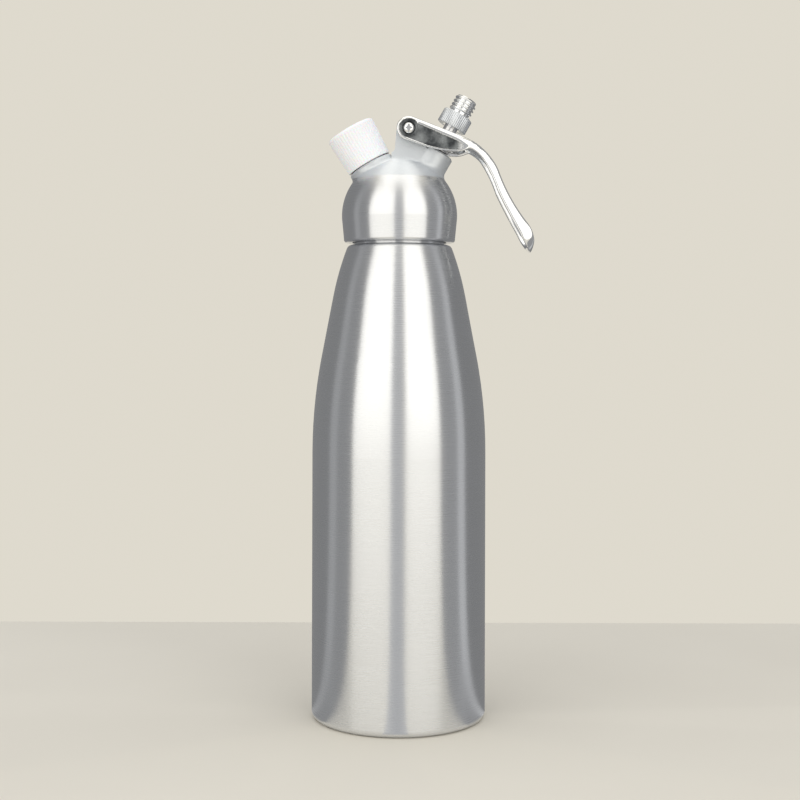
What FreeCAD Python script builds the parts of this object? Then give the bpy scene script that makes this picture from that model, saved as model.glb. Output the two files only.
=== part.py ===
import FreeCAD, Part
import math
import operator
import os

import Sketcher
from FreeCAD import Placement, Rotation, Vector

# A one litre whipped cream dispenser, in millimetres and degrees.
# The origin is the middle of the base, +Z runs up the bottle and the lever reaches out to +X.
# The valve and the gas inlet stand on two axes that start at the middle of the dome, tilted
# to +X and to -X. On such a tilted piece the height is the distance from that middle.

SIZES = {
    # bottle
    "bottle_radius": "45",
    "bottle_wall": "1.6",
    "foot_edge_radius": "3.2",
    "foot_ring": "4.8",
    "base_recess": "3",
    "straight_top": "137",
    "cone_bottom_drop": "57.7",
    "cone_top_drop": "26.5",
    "shoulder_angle": "20.5",
    "shoulder_drop": "1.8",
    "shoulder_width": "11.14",
    "bottle_top": "244.5",
    # neck thread, which the head screws on
    "neck_bore_radius": "20.8",
    "neck_root_radius": "23.2",
    "thread_depth": "1",
    "neck_length": "15.5",
    "neck_pitch": "3.5",
    "neck_thread_length": "8",
    "thread_clearance": "0.4",
    # gasket
    "gasket_thickness": "2.5",
    "gasket_bore_radius": "19.5",
    "gasket_ledge": "3",
    # head
    "head_gap": "1.3",
    "skirt_radius": "28.9",
    "skirt_edge": "1.5",
    "dome_radius": "30",
    "dome_rise": "13.9",
    "head_wall": "4.5",
    "axis_tilt": "30",
    "web_thickness": "16",
    "web_fillet": "2",
    # valve boss and what it holds
    "valve_boss_radius": "9.3",
    "boss_drop": "5.3",
    "boss_fillet": "4",
    "spring_room": "9.8",
    "spring_pocket_radius": "7",
    "bush_radius": "7.5",
    "bush_flange_radius": "10",
    "bush_flange": "3",
    "boss_pad_level": "23.5",
    "valve_chamber_radius": "6",
    "valve_chamber": "4.5",
    "stem_radius": "4.3",
    "stem_clearance": "0.05",
    "stem_bore_radius": "2",
    "stem_neck_radius": "3.6",
    "stem_shoulder": "44.3",
    "stem_stub": "1",
    "poppet_radius": "8",
    "poppet_thickness": "2.5",
    "valve_seal_thickness": "2",
    "o_ring_depth": "0.9",
    "o_ring_spacing": "2.5",
    "collar_radius": "6.6",
    "collar_thickness": "2",
    "spring_wire": "0.9",
    "spring_turns": "3",
    # nozzle and its ring
    "ring_radius": "8.05",
    "ring_rise": "9.2",
    "ring_height": "7.5",
    "ring_edge": "0.35",
    "ring_bore_radius": "5",
    "nozzle_seal_thickness": "1",
    "nozzle_length": "9.6",
    "nozzle_root_radius": "5.3",
    "nozzle_thread_depth": "0.9",
    "nozzle_pitch": "2",
    # gas inlet
    "inlet_boss_radius": "12",
    "inlet_boss_top": "31",
    "stud_shank_radius": "6.5",
    "stud_bottom": "18.5",
    "stud_top": "44",
    "stud_root_radius": "9.4",
    "stud_thread_depth": "0.8",
    "stud_pitch": "2",
    "charger_bore_radius": "4.75",
    "charger_bore_depth": "6.5",
    "charger_seal_thickness": "2",
    "pin_plate": "2.5",
    "pin_radius": "1.1",
    "pin_length": "6.5",
    "gas_hole_radius": "0.6",
    "gas_passage_radius": "1.5",
    "ball_radius": "2.4",
    "valve_pocket_radius": "3.2",
    "retainer_thickness": "2",
    "check_spring_wire": "0.4",
    "check_spring_turns": "2.5",
    # protective cap
    "cap_gap": "0.5",
    "cap_bottom_radius": "11.95",
    "cap_top_radius": "13.05",
    "cap_height": "20.4",
    "cap_clearance": "0.35",
    "cap_roof": "2",
    "cap_edge": "1.5",
    # lever and its pivot
    "pivot_x": "4.67",
    "pivot_over_shoulder": "0.2",
    "lug_radius": "6.3",
    "ear_radius": "6.4",
    "ear_boss_radius": "4.4",
    "ear_gap": "0.25",
    "pivot_pin_radius": "2.5",
    "pivot_clearance": "0.05",
    "screw_radius": "1.5",
    "screw_length": "8",
    "screw_head_radius": "2.85",
    "screw_head": "1.6",
    "lever_width": "25",
    "handle_width": "20",
    "cheek": "2.2",
    "plate": "2.2",
    "panel_depth": "0.8",
    "lever_slope": "21.5",
    "plate_length": "28.5",
    "lever_tip": "90.5",
    "thrust_pad_radius": "2",
}

document = FreeCAD.newDocument("WhippedCreamDispenser")
sheet = document.addObject("Spreadsheet::Sheet", "Sizes")


class Size:
    """A size from the sheet, or worked out from such sizes, with the formula that binds it."""

    def __init__(self, value, formula=None):
        self.value = float(value)
        self.formula = formula or f"({value})"

    def __add__(self, other):
        return combine(self, "+", operator.add, other)

    def __radd__(self, other):
        return combine(other, "+", operator.add, self)

    def __sub__(self, other):
        return combine(self, "-", operator.sub, other)

    def __rsub__(self, other):
        return combine(other, "-", operator.sub, self)

    def __mul__(self, other):
        return combine(self, "*", operator.mul, other)

    def __rmul__(self, other):
        return combine(other, "*", operator.mul, self)

    def __truediv__(self, other):
        return combine(self, "/", operator.truediv, other)

    def __neg__(self):
        return 0 - self


def as_size(value):
    return value if isinstance(value, Size) else Size(value)


def combine(first, sign, operation, second):
    first = as_size(first)
    second = as_size(second)
    value = operation(first.value, second.value)
    return Size(value, f"({first.formula} {sign} {second.formula})")


def sine(angle):
    return Size(math.sin(math.radians(angle.value)), f"sin({angle.formula})")


def cosine(angle):
    return Size(math.cos(math.radians(angle.value)), f"cos({angle.formula})")


def root(size):
    return Size(math.sqrt(size.value), f"sqrt({size.formula})")


def fill_sheet():
    """Writes the driving sizes into the sheet and gives each back under its name."""
    found = {}
    for row, (name, text) in enumerate(SIZES.items(), 1):
        sheet.set(f"A{row}", name)
        sheet.set(f"B{row}", text)
        sheet.setAlias(f"B{row}", name)
        found[name] = Size(float(text), f"Sizes.{name}")
    document.recompute()
    return found


size = fill_sheet()

# Levels and radii that several pieces share.
neck_rim = size["bottle_top"] + size["neck_length"]
head_bottom = size["bottle_top"] + size["head_gap"]
dome_middle = head_bottom + size["dome_rise"]
neck_crest_radius = size["neck_root_radius"] + size["thread_depth"]
head_bore_radius = neck_crest_radius + size["thread_clearance"]
gasket_top = neck_rim + size["gasket_thickness"]
cavity_radius = size["dome_radius"] - size["head_wall"]
bush_bottom = size["boss_pad_level"] - size["bush_flange"]
chamber_top = bush_bottom + size["valve_chamber"]
guide_radius = size["stem_radius"] + size["stem_clearance"]
poppet_top = bush_bottom - size["valve_seal_thickness"]
poppet_bottom = poppet_top - size["poppet_thickness"]
collar_top = size["stem_shoulder"] + size["collar_thickness"]
spring_seat = size["stem_shoulder"] - size["spring_room"]
valve_boss_top = size["stem_shoulder"] - size["boss_drop"]
ring_level = size["stem_shoulder"] + size["ring_rise"]
ring_top = ring_level + size["ring_height"]
stem_end = ring_top + size["stem_stub"]
nozzle_top = ring_top + size["nozzle_length"]
stud_crest_radius = size["stud_root_radius"] + size["stud_thread_depth"]
seal_top = size["stud_top"] - size["charger_bore_depth"]
pin_plate_top = seal_top - size["charger_seal_thickness"]
pin_plate_bottom = pin_plate_top - size["pin_plate"]
pin_plate_radius = size["charger_bore_radius"] - 0.75
seat_top = pin_plate_bottom - 3.6
retainer_radius = size["valve_pocket_radius"] + 1.3
retainer_top = size["stud_bottom"] + size["retainer_thickness"]
ball_seat_gap = 0.02
ball_middle = seat_top + size["gas_passage_radius"] - size["ball_radius"] * math.sqrt(2) - ball_seat_gap
pivot_z = dome_middle + size["stem_shoulder"] + size["pivot_over_shoulder"]
lever_half = size["lever_width"] / 2
cheek_inside = lever_half - size["cheek"]
lug_half = size["web_thickness"] / 2
screw_seat = lever_half - size["screw_head"] + 0.25
head_counterbore = 0.15
pad_start = size["stem_neck_radius"] + 0.7


# Building blocks.
def origin_plane(body, role):
    return [item for item in body.Origin.OriginFeatures if item.Role == role][0]


def new_sketch(body, name, role="XZ_Plane", offset=None):
    """A sketch on one of the body's own origin planes, moved by an offset within it."""
    sketch = body.newObject("Sketcher::SketchObject", name)
    sketch.AttachmentSupport = [(origin_plane(body, role), "")]
    sketch.MapMode = "FlatFace"
    if offset:
        sketch.AttachmentOffset = offset
    return sketch


def arc_between(start, end, radius):
    """An arc that turns left from start to end where the radius is positive, else right."""
    chord = end - start
    half = chord.Length / 2
    height = math.sqrt(max(radius * radius - half * half, 0))
    left = Vector(-chord.y, chord.x, 0).normalize()
    middle = start + chord * 0.5 + left * (height if radius > 0 else -height)
    circle = Part.Circle(middle, Vector(0, 0, 1), abs(radius))
    first, last = (start, end) if radius > 0 else (end, start)
    first_angle = math.atan2(first.y - middle.y, first.x - middle.x)
    last_angle = math.atan2(last.y - middle.y, last.x - middle.x)
    return Part.ArcOfCircle(circle, first_angle, last_angle)


def bind(sketch, kind, places, wanted):
    """Adds a constraint and ties it to its formula."""
    index = sketch.addConstraint(Sketcher.Constraint(kind, *places, wanted.value))
    sketch.setExpression(f"Constraints[{index}]", wanted.formula)


def draw(sketch, outline):
    """Draws a closed outline. A point is (x, y), or (x, y, r) where an arc of radius r,
    positive for a left turn, leads to it from the point before."""
    points = [[as_size(value) for value in point] for point in outline]
    ends = []
    for index, point in enumerate(points):
        after = points[(index + 1) % len(points)]
        start = Vector(point[0].value, point[1].value, 0)
        end = Vector(after[0].value, after[1].value, 0)
        if len(after) == 2:
            item = sketch.addGeometry(Part.LineSegment(start, end), False)
            ends.append((item, 1, 2))
            continue
        radius = after[2].value
        item = sketch.addGeometry(arc_between(start, end, radius), False)
        ends.append((item, 1, 2) if radius > 0 else (item, 2, 1))
        bind(sketch, "Radius", [item], after[2] if radius > 0 else -after[2])
    for index, (item, first, last) in enumerate(ends):
        next_item, next_first, _ = ends[(index + 1) % len(ends)]
        sketch.addConstraint(Sketcher.Constraint("Coincident", item, last, next_item, next_first))
    for (item, first, _), point in zip(ends, points):
        if point[0].value == 0:
            sketch.addConstraint(Sketcher.Constraint("PointOnObject", item, first, -2))
        else:
            bind(sketch, "DistanceX", [-1, 1, item, first], point[0])
        if point[1].value == 0:
            sketch.addConstraint(Sketcher.Constraint("PointOnObject", item, first, -1))
        else:
            bind(sketch, "DistanceY", [-1, 1, item, first], point[1])


def new_body(label):
    body = document.addObject("PartDesign::Body", label)
    body.Label = label
    return body


def revolve(body, name, outline, kind="Revolution", offset=None):
    """Turns an outline of (radius, height) points about the sketch's upright axis."""
    sketch = new_sketch(body, f"{name}_profile", offset=offset)
    draw(sketch, outline)
    feature = body.newObject(f"PartDesign::{kind}", name)
    feature.Profile = sketch
    feature.ReferenceAxis = (sketch, ["V_Axis"])
    feature.Angle = 360
    return feature


def turned(label, outline):
    """A piece made on a lathe, as a body with one revolved outline."""
    body = new_body(label)
    revolve(body, f"{label}_turned", outline)
    return body


def wind_thread(body, name, tooth, pitch, length):
    """Winds a tooth's section into a right-hand thread about the upright axis."""
    sketch = new_sketch(body, f"{name}_tooth")
    draw(sketch, tooth)
    document.recompute()
    helix = body.newObject("PartDesign::AdditiveHelix", name)
    helix.Profile = sketch
    helix.ReferenceAxis = (sketch, ["V_Axis"])
    helix.Mode = 0
    helix.setExpression("Pitch", pitch.formula)
    helix.setExpression("Height", length.formula)
    document.recompute()


def set_on_axis(item, side):
    """Stands a piece on the valve's axis, side 1, or on the inlet's axis, side -1."""
    turn = Rotation(Vector(0, side, 0), size["axis_tilt"].value)
    item.Placement = Placement(Vector(0, 0, dome_middle.value), turn)
    item.setExpression("Placement.Base.z", dome_middle.formula)
    item.setExpression("Placement.Rotation.Angle", size["axis_tilt"].formula)


def tilted(sketch, side):
    """Puts a sketch on the valve's or the inlet's axis, in the plane of both axes."""
    turn = Rotation(Vector(0, 0, -side), size["axis_tilt"].value)
    sketch.AttachmentOffset = Placement(Vector(0, dome_middle.value, 0), turn)
    sketch.setExpression("AttachmentOffset.Base.y", dome_middle.formula)
    sketch.setExpression("AttachmentOffset.Rotation.Angle", size["axis_tilt"].formula)


def ring_outline(inner, outer, bottom, top):
    return [(inner, bottom), (outer, bottom), (outer, top), (inner, top)]


def o_ring(label, bore_side, depth, level):
    """A torus that fills a groove of the given depth below a cylinder's radius."""
    ring = document.addObject("Part::Torus", label)
    ring.Label = label
    ring.setExpression("Radius1", (bore_side - depth / 2).formula)
    ring.setExpression("Radius2", (depth / 2).formula)
    ring.Placement = Placement(Vector(0, 0, level.value), Rotation())
    return ring


# The bottle.
def bottle_outline():
    """Outer wall from the base up, over the neck's rim and down the inner wall."""
    wall = size["bottle_wall"]
    radius = size["bottle_radius"]
    edge = size["foot_edge_radius"]
    recess_radius = radius - edge - size["foot_ring"]
    slope = size["shoulder_angle"]
    cone_bottom = size["bottle_top"] - size["cone_bottom_drop"]
    cone_top = size["bottle_top"] - size["cone_top_drop"]
    shoulder_height = size["bottle_top"] - size["shoulder_drop"]
    cone_top_radius = size["neck_root_radius"] + size["shoulder_width"]
    arc_rise = cone_bottom - size["straight_top"]
    half_slope = (radius - cone_top_radius) / (arc_rise + (cone_top - cone_bottom) * 2)
    cone_sine = half_slope * 2 / (half_slope * half_slope + 1)
    cone_cosine = (1 - half_slope * half_slope) / (half_slope * half_slope + 1)
    lower_arc = arc_rise / cone_sine
    cone_bottom_radius = radius - arc_rise * half_slope
    upper_arc = (shoulder_height - cone_top) / (sine(slope) - cone_sine)
    shoulder_radius = cone_top_radius - upper_arc * (cone_cosine - cosine(slope))
    rim_arc = size["shoulder_drop"] / (1 - sine(slope))
    floor = size["base_recess"] + wall
    inner_corner = 4
    inner_shoulder = shoulder_height - 4.7
    return [
        (0, size["base_recess"]),
        (recess_radius, size["base_recess"]),
        (recess_radius + size["foot_ring"] / 2, 0),
        (radius - edge, 0),
        (radius, edge, edge),
        (radius, size["straight_top"]),
        (cone_bottom_radius, cone_bottom, lower_arc),
        (cone_top_radius, cone_top),
        (shoulder_radius, shoulder_height, upper_arc),
        (shoulder_radius - rim_arc * cosine(slope), size["bottle_top"], rim_arc),
        (size["neck_root_radius"], size["bottle_top"]),
        (size["neck_root_radius"], neck_rim - 0.6),
        (size["neck_root_radius"] - 0.6, neck_rim),
        (size["neck_bore_radius"], neck_rim),
        (size["neck_bore_radius"], size["bottle_top"] - 2.5),
        (shoulder_radius - wall + 1.2, inner_shoulder),
        (cone_top_radius - wall * cone_cosine, cone_top - wall * cone_sine),
        (cone_bottom_radius - wall * cone_cosine, cone_bottom - wall * cone_sine),
        (radius - wall, size["straight_top"], wall - lower_arc),
        (radius - wall, floor + inner_corner),
        (radius - wall - inner_corner, floor, -inner_corner),
        (0, floor),
    ]


def make_bottle():
    """The pressure bottle with its pushed-in base, long shoulder and threaded neck."""
    body = turned("bottle", bottle_outline())
    document.recompute()
    foot = size["neck_root_radius"] - 0.2
    low = neck_rim - 10
    tooth = [
        (foot, low - 0.93),
        (neck_crest_radius, low - 0.45),
        (neck_crest_radius, low + 0.45),
        (foot, low + 0.93),
    ]
    wind_thread(body, "neck_thread", tooth, size["neck_pitch"], size["neck_thread_length"])
    return body


def make_gasket():
    """The flat ring that the head presses on the neck's rim."""
    outer = head_bore_radius - 0.2
    return turned("head_gasket", ring_outline(size["gasket_bore_radius"], outer, neck_rim, gasket_top))


# The head.
def head_outline():
    """The dome with its skirt, its threaded bore and the hollow above the gasket."""
    dome = size["dome_radius"]
    edge = size["skirt_edge"]
    skirt_top = dome_middle - 1.2
    skirt_top_radius = root(dome * dome - 1.2 * 1.2)
    hollow = size["gasket_bore_radius"]
    ledge_top = gasket_top + size["gasket_ledge"]
    ledge_rise = ledge_top - dome_middle
    hollow_wide = root(cavity_radius * cavity_radius - ledge_rise * ledge_rise)
    return [
        (head_bore_radius, head_bottom),
        (size["skirt_radius"] - edge, head_bottom),
        (size["skirt_radius"], head_bottom + edge, edge),
        (skirt_top_radius, skirt_top),
        (0, dome_middle + dome, dome),
        (0, dome_middle + cavity_radius),
        (hollow_wide, ledge_top, -cavity_radius),
        (hollow, ledge_top),
        (hollow, gasket_top),
        (head_bore_radius, gasket_top),
    ]


def boss_outline(radius, top, fillet, pad_radius):
    """A boss from the pad inside the dome to its top, filleted into the dome's outside."""
    dome = size["dome_radius"]
    reach = root((dome + fillet) * (dome + fillet) - (radius + fillet) * (radius + fillet))
    share = dome / (dome + fillet)
    chamfer = 0.8
    return [
        (0, size["boss_pad_level"]),
        (pad_radius, size["boss_pad_level"]),
        (pad_radius, cavity_radius + 0.5),
        ((radius + fillet) * share, reach * share),
        (radius, reach, -fillet),
        (radius, top - chamfer),
        (radius - chamfer, top),
        (0, top),
    ]


def web_outline():
    """The lug that carries the lever, from its round end down into the dome and the boss."""
    lug = size["lug_radius"]
    x = size["pivot_x"]
    inner = size["ear_radius"] - size["plate"] - 0.3
    top_x = x + inner * cosine(Size(75))
    top_z = pivot_z + inner * sine(Size(75))
    left_x = x - lug
    tilt = size["axis_tilt"]
    boss_x = sine(tilt) * valve_boss_top - cosine(tilt) * size["valve_boss_radius"]
    boss_z = dome_middle + cosine(tilt) * valve_boss_top + sine(tilt) * size["valve_boss_radius"]
    return [
        (left_x - 2.6, dome_middle + cavity_radius + 0.4),
        (x + 7, dome_middle + cavity_radius + 0.4),
        (boss_x + 3, boss_z - 5),
        (boss_x + 0.8, boss_z - 0.5),
        (x + inner + 0.6, boss_z + 1.2),
        (x + inner, pivot_z),
        (top_x, top_z, inner),
        (x - lug * cosine(Size(60)), pivot_z + lug * sine(Size(60))),
        (left_x, pivot_z, lug),
        (left_x - 0.8, dome_middle + size["dome_radius"] + 5.5),
        (left_x - 2.6, dome_middle + size["dome_radius"] + 2.5, -2.5),
    ]


def round_web_foot(body, pad):
    """Fillets the edges where the web's flat sides leave the dome and the boss's own fillet."""
    middle = Vector(0, 0, dome_middle.value)
    dome = size["dome_radius"].value
    chosen = []
    for index, edge in enumerate(pad.Shape.Edges, 1):
        if edge.Length < 1:
            continue
        first, last = edge.ParameterRange
        points = [edge.valueAt(first + (last - first) * share) for share in (0, 0.5, 1)]
        on_side = all(abs(abs(point.y) - lug_half.value) < 0.0001 for point in points)
        if on_side and -0.1 < (points[1] - middle).Length - dome < 1:
            chosen.append(f"Edge{index}")
    fillet = body.newObject("PartDesign::Fillet", "web_foot")
    fillet.Base = (pad, chosen)
    fillet.setExpression("Radius", size["web_fillet"].formula)
    document.recompute()


def make_head():
    """The cast head: dome, valve boss, inlet boss and the web with the lever's lug."""
    body = new_body("head")
    revolve(body, "dome", head_outline())
    document.recompute()
    valve = boss_outline(size["valve_boss_radius"], valve_boss_top, size["boss_fillet"],
                         size["bush_flange_radius"] + 0.3)
    tilted(revolve(body, "valve_boss", valve).Profile[0], 1)
    inlet = boss_outline(size["inlet_boss_radius"], size["inlet_boss_top"], Size(2),
                         size["stud_shank_radius"] + 3)
    tilted(revolve(body, "inlet_boss", inlet).Profile[0], -1)
    document.recompute()
    web = new_sketch(body, "web_profile")
    draw(web, web_outline())
    pad = body.newObject("PartDesign::Pad", "web")
    pad.Profile = web
    pad.Midplane = True
    pad.setExpression("Length", size["web_thickness"].formula)
    document.recompute()
    round_web_foot(body, pad)
    beyond = valve_boss_top + 2
    bush_bore = [
        (0, size["boss_pad_level"] - 6),
        (size["bush_radius"], size["boss_pad_level"] - 6),
        (size["bush_radius"], spring_seat),
        (size["spring_pocket_radius"], spring_seat),
        (size["spring_pocket_radius"], beyond),
        (0, beyond),
    ]
    tilted(revolve(body, "valve_bore", bush_bore, "Groove").Profile[0], 1)
    stud_bore = [
        (0, size["boss_pad_level"] - 6),
        (size["stud_shank_radius"], size["boss_pad_level"] - 6),
        (size["stud_shank_radius"], size["inlet_boss_top"] + 2),
        (0, size["inlet_boss_top"] + 2),
    ]
    tilted(revolve(body, "inlet_bore", stud_bore, "Groove").Profile[0], -1)
    document.recompute()
    hole = new_sketch(body, "pivot_bore_profile")
    circle = Part.Circle(Vector(size["pivot_x"].value, pivot_z.value, 0), Vector(0, 0, 1), 2)
    item = hole.addGeometry(circle, False)
    bind(hole, "Radius", [item], size["pivot_pin_radius"])
    bind(hole, "DistanceX", [-1, 1, item, 3], size["pivot_x"])
    bind(hole, "DistanceY", [-1, 1, item, 3], pivot_z)
    pocket = body.newObject("PartDesign::Pocket", "pivot_bore")
    pocket.Profile = hole
    pocket.Midplane = True
    pocket.setExpression("Length", (size["web_thickness"] + 4).formula)
    document.recompute()
    foot = head_bore_radius + 0.2
    crest = head_bore_radius - size["thread_depth"]
    low = neck_rim - 10 - size["neck_pitch"] * 0.4
    tooth = [(foot, low + 0.93), (crest, low + 0.45), (crest, low - 0.45), (foot, low - 0.93)]
    wind_thread(body, "head_thread", tooth, size["neck_pitch"], size["neck_thread_length"])
    return body


# The valve.
def make_valve_bush():
    """The bush that seats the valve seal below and guides the stem above."""
    depth = Size(0.8)
    groove = size["boss_pad_level"] + 0.8
    outline = [
        (size["valve_chamber_radius"], bush_bottom),
        (size["bush_flange_radius"], bush_bottom),
        (size["bush_flange_radius"], size["boss_pad_level"]),
        (size["bush_radius"], size["boss_pad_level"]),
        (size["bush_radius"], groove),
        (size["bush_radius"] - depth, groove),
        (size["bush_radius"] - depth, groove + 1),
        (size["bush_radius"], groove + 1),
        (size["bush_radius"], spring_seat),
        (guide_radius, spring_seat),
        (guide_radius, chamber_top),
        (size["valve_chamber_radius"], chamber_top),
    ]
    body = turned("valve_bush", outline)
    set_on_axis(body, 1)
    ring = o_ring("bush_o_ring", size["bush_radius"], depth, groove + 0.5)
    place_o_ring(ring, groove + 0.5, 1)
    return body, ring


def place_o_ring(ring, level, side):
    """Moves an O-ring along a tilted axis to its groove."""
    tilt = size["axis_tilt"]
    x = sine(tilt) * level * side
    z = dome_middle + cosine(tilt) * level
    turn = Rotation(Vector(0, side, 0), tilt.value)
    ring.Placement = Placement(Vector(x.value, 0, z.value), turn)
    ring.setExpression("Placement.Base.x", x.formula)
    ring.setExpression("Placement.Base.z", z.formula)
    ring.setExpression("Placement.Rotation.Angle", tilt.formula)


def stem_groove_levels():
    """Middles of the stem's two O-ring grooves."""
    upper = spring_seat - 1.9
    return [upper, upper - size["o_ring_spacing"]]


def make_stem():
    """The hollow stem with its poppet below, O-ring grooves and a threaded upper end."""
    wide = size["stem_radius"]
    bore = size["stem_bore_radius"]
    deep = wide - size["o_ring_depth"]
    upper, lower = stem_groove_levels()
    half = size["o_ring_depth"] / 2 + 0.1
    outline = [
        (0, poppet_bottom - 2.5),
        (3, poppet_bottom - 2.5),
        (3, poppet_bottom),
        (size["poppet_radius"] - 0.5, poppet_bottom),
        (size["poppet_radius"], poppet_bottom + 0.5),
        (size["poppet_radius"], poppet_top),
        (wide, poppet_top),
        (wide, lower - half),
        (deep, lower - half),
        (deep, lower + half),
        (wide, lower + half),
        (wide, upper - half),
        (deep, upper - half),
        (deep, upper + half),
        (wide, upper + half),
        (wide, size["stem_shoulder"]),
        (size["stem_neck_radius"], size["stem_shoulder"]),
        (size["stem_neck_radius"], stem_end),
        (bore, stem_end),
        (bore, poppet_top + 1),
        (0, poppet_top + 1),
    ]
    body = turned("valve_stem", outline)
    document.recompute()
    level = bush_bottom + size["valve_chamber"] / 2
    ports = new_sketch(body, "port_profile")
    item = ports.addGeometry(Part.Circle(Vector(0, level.value, 0), Vector(0, 0, 1), 1.2), False)
    ports.addConstraint(Sketcher.Constraint("PointOnObject", item, 3, -2))
    bind(ports, "DistanceY", [-1, 1, item, 3], level)
    bind(ports, "Radius", [item], bore * 0.6)
    pocket = body.newObject("PartDesign::Pocket", "port")
    pocket.Profile = ports
    pocket.setExpression("Length", (wide * 2).formula)
    document.recompute()
    pattern = body.newObject("PartDesign::PolarPattern", "ports")
    pattern.Originals = [pocket]
    pattern.Axis = (origin_plane(body, "Z_Axis"), [""])
    pattern.Angle = 360
    pattern.Occurrences = 4
    body.Tip = pattern
    document.recompute()
    set_on_axis(body, 1)
    return body


def make_stem_o_rings():
    """Two O-rings that seal the stem in its bush, as one node of two solids."""
    depth = size["o_ring_depth"]
    rings = []
    for index, level in enumerate(stem_groove_levels()):
        ring = o_ring(f"stem_o_ring_{index + 1}", size["stem_radius"] + 0.04, depth, level)
        place_o_ring(ring, level, 1)
        rings.append(ring)
    group = document.addObject("Part::Compound", "stem_o_rings")
    group.Label = "stem_o_rings"
    group.Links = rings
    return group


def on_valve(label, outline):
    body = turned(label, outline)
    set_on_axis(body, 1)
    return body


def on_inlet(label, outline):
    body = turned(label, outline)
    set_on_axis(body, -1)
    return body


def make_valve_seal():
    """The rubber ring on the poppet that closes against the bush."""
    outer = size["poppet_radius"] - 0.4
    return on_valve("valve_seal", ring_outline(size["stem_radius"], outer, poppet_top, bush_bottom))


def make_collar():
    """The collar on the stem's shoulder that the lever presses and the spring lifts."""
    outer = size["collar_radius"]
    edge = 0.4
    outline = [
        (size["stem_neck_radius"], size["stem_shoulder"]),
        (outer, size["stem_shoulder"]),
        (outer, collar_top - edge),
        (outer - edge, collar_top),
        (size["stem_neck_radius"], collar_top),
    ]
    return on_valve("thrust_collar", outline)


def make_nozzle():
    """The threaded nozzle that the decorating tips screw on."""
    inner = size["stem_neck_radius"]
    top = nozzle_top
    crown = size["nozzle_root_radius"]
    seal = stem_end + size["nozzle_seal_thickness"]
    outline = [
        (inner, ring_level),
        (size["ring_bore_radius"], ring_level),
        (size["ring_bore_radius"], ring_top),
        (crown, ring_top),
        (crown, top - 0.4),
        (crown - 0.4, top),
        (size["stem_bore_radius"] + 0.8, top),
        (size["stem_bore_radius"] + 0.8, seal),
        (inner, seal),
    ]
    body = turned("nozzle", outline)
    document.recompute()
    depth = size["nozzle_thread_depth"]
    low = ring_top + 0.9
    foot = crown - 0.15
    tooth = [
        (foot, low - 0.85),
        (crown + depth * 0.5, low - 0.52),
        (crown + depth * 0.5, low + 0.52, 0.56),
        (foot, low + 0.85),
    ]
    length = top - low - 0.9
    wind_thread(body, "nozzle_thread", tooth, size["nozzle_pitch"], length)
    set_on_axis(body, 1)
    return body


def make_nozzle_seal():
    """The washer between the stem's end and the nozzle."""
    top = stem_end + size["nozzle_seal_thickness"]
    return on_valve("nozzle_seal", ring_outline(size["stem_bore_radius"] + 0.8, size["stem_neck_radius"],
                                                stem_end, top))


def make_knurled_ring():
    """The grip ring pressed on the nozzle's foot."""
    outer = size["ring_radius"]
    edge = size["ring_edge"]
    outline = [
        (size["ring_bore_radius"], ring_level),
        (outer - edge, ring_level),
        (outer, ring_level + edge),
        (outer, ring_top - edge),
        (outer - edge, ring_top),
        (size["ring_bore_radius"], ring_top),
    ]
    return on_valve("knurled_ring", outline)


# Wound springs.
def arc_to(start, corner, end):
    """The arc from start to end whose end tangents meet at the corner."""
    middle = (start + end) * 0.5
    rise = corner - middle
    half = (end - start).Length / 2
    apex = middle + rise.normalize() * (half * math.tan(math.atan2((corner - middle).Length, half) / 2))
    return Part.Arc(start, apex, end).toShape()


def helix_point(radius, pitch, bottom, turn):
    """Where a helix is after some turns, and its direction there."""
    angle = 2 * math.pi * turn
    slope = pitch / (2 * math.pi)
    point = Vector(radius * math.cos(angle), radius * math.sin(angle), bottom + pitch * turn)
    way = Vector(-radius * math.sin(angle), radius * math.cos(angle), slope).normalize()
    return point, way


def biarc(start, start_way, end, end_way):
    """Two arcs that join two points and keep the direction at both."""
    span = end - start
    a = 2 * (1 - start_way.dot(end_way))
    b = 2 * span.dot(start_way + end_way)
    c = -span.dot(span)
    reach = (-b + math.sqrt(b * b - 4 * a * c)) / (2 * a)
    first_corner = start + start_way * reach
    last_corner = end - end_way * reach
    joint = (first_corner + last_corner) * 0.5
    return [arc_to(start, first_corner, joint), arc_to(joint, last_corner, end)]


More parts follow.
